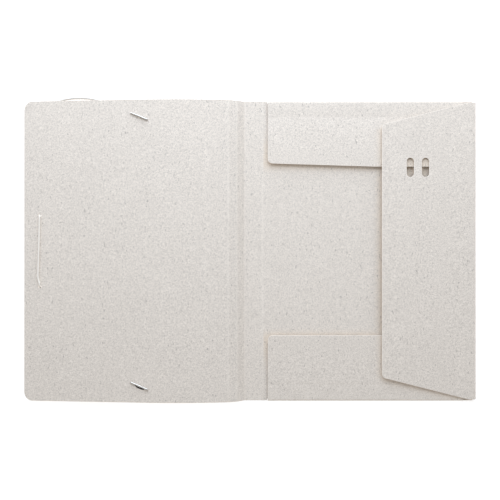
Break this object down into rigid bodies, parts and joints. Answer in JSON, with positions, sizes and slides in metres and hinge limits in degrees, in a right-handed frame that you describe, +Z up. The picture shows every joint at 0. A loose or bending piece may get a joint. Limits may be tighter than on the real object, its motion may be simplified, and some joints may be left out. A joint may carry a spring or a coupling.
{
  "type": "document folder",
  "caption": "A4 document folder lying open, with spine, relief strips, inner flaps, slotted side flap and elastic cord closure held by metal barbs.",
  "frame": {"origin": "centre of the open folder's footprint on the table, without the elastic cord", "axes": "+X across the open folder from front cover to back cover, +Y towards the top edge, +Z up out of the table"},
  "size_m": [0.475, 0.3192, 0.0143],
  "materials": {
    "sheet": "matt off-white sheet with fine tan and grey fibre flecks",
    "crease": "same sheet, pressed thin and slightly paler at the folds",
    "elastic": "braided white elastic cord",
    "barb": "bright zinc-plated crimped metal"
  },
  "bodies": {
    "back_cover": {"back_cover": "sheet", "spine_back_crease": "crease", "top_fold": "crease", "bottom_fold": "crease", "side_fold": "crease"},
    "spine": {"spine": "sheet", "spine_cover_crease": "crease"},
    "relief_inner": {"relief_strip_inner": "sheet", "relief_middle_crease": "crease"},
    "relief_outer": {"relief_strip_outer": "sheet", "relief_cover_crease": "crease"},
    "front_cover": {"front_cover": "sheet", "upper_barb": "barb", "lower_barb": "barb", "elastic_inner_run": "elastic", "elastic_upper_loop": "elastic", "elastic_lower_loop": "elastic"},
    "top_flap": {"top_flap": "sheet"},
    "bottom_flap": {"bottom_flap": "sheet"},
    "side_flap": {"side_flap": "sheet"}
  },
  "joints": [
    {"name": "spine_fold", "type": "hinge", "parent": "back_cover", "child": "spine", "pos_m": [0.01353, 0, 0.0008], "axis": [0, 1, 0], "range_deg": [0, 90], "deforming": ["spine_back_crease"]},
    {"name": "cover_fold", "type": "hinge", "parent": "spine", "child": "relief_inner", "pos_m": [-0.00547, 0, 0.0008], "axis": [0, 1, 0], "range_deg": [0, 54], "deforming": ["spine_cover_crease"]},
    {"name": "relief_middle_fold", "type": "hinge", "parent": "relief_inner", "child": "relief_outer", "pos_m": [-0.01324, 0, 0.00644], "axis": [0, 1, 0], "range_deg": [0, 15], "deforming": ["relief_middle_crease"]},
    {"name": "relief_cover_fold", "type": "hinge", "parent": "relief_outer", "child": "front_cover", "pos_m": [-0.0222, 0, 0.00988], "axis": [0, 1, 0], "range_deg": [0, 25.6], "deforming": ["relief_cover_crease"]},
    {"name": "side_flap_fold", "type": "hinge", "parent": "back_cover", "child": "side_flap", "pos_m": [0.23483, 0, 0.0027], "axis": [0, 1, 0], "range_deg": [0, 178.5], "deforming": ["side_fold"]},
    {"name": "top_flap_fold", "type": "hinge", "parent": "back_cover", "child": "top_flap", "pos_m": [0.11, 0.1557, 0.0018], "axis": [-1, 0, 0], "range_deg": [0, 119], "deforming": ["top_fold"]},
    {"name": "bottom_flap_fold", "type": "hinge", "parent": "back_cover", "child": "bottom_flap", "pos_m": [0.11, -0.1557, 0.0018], "axis": [1, 0, 0], "range_deg": [0, 119], "deforming": ["bottom_fold"]}
  ],
  "couplings": [
    {"joint": "top_flap_fold", "follows": "side_flap_fold", "ratio": 0.6666},
    {"joint": "bottom_flap_fold", "follows": "side_flap_fold", "ratio": 0.6666}
  ]
}
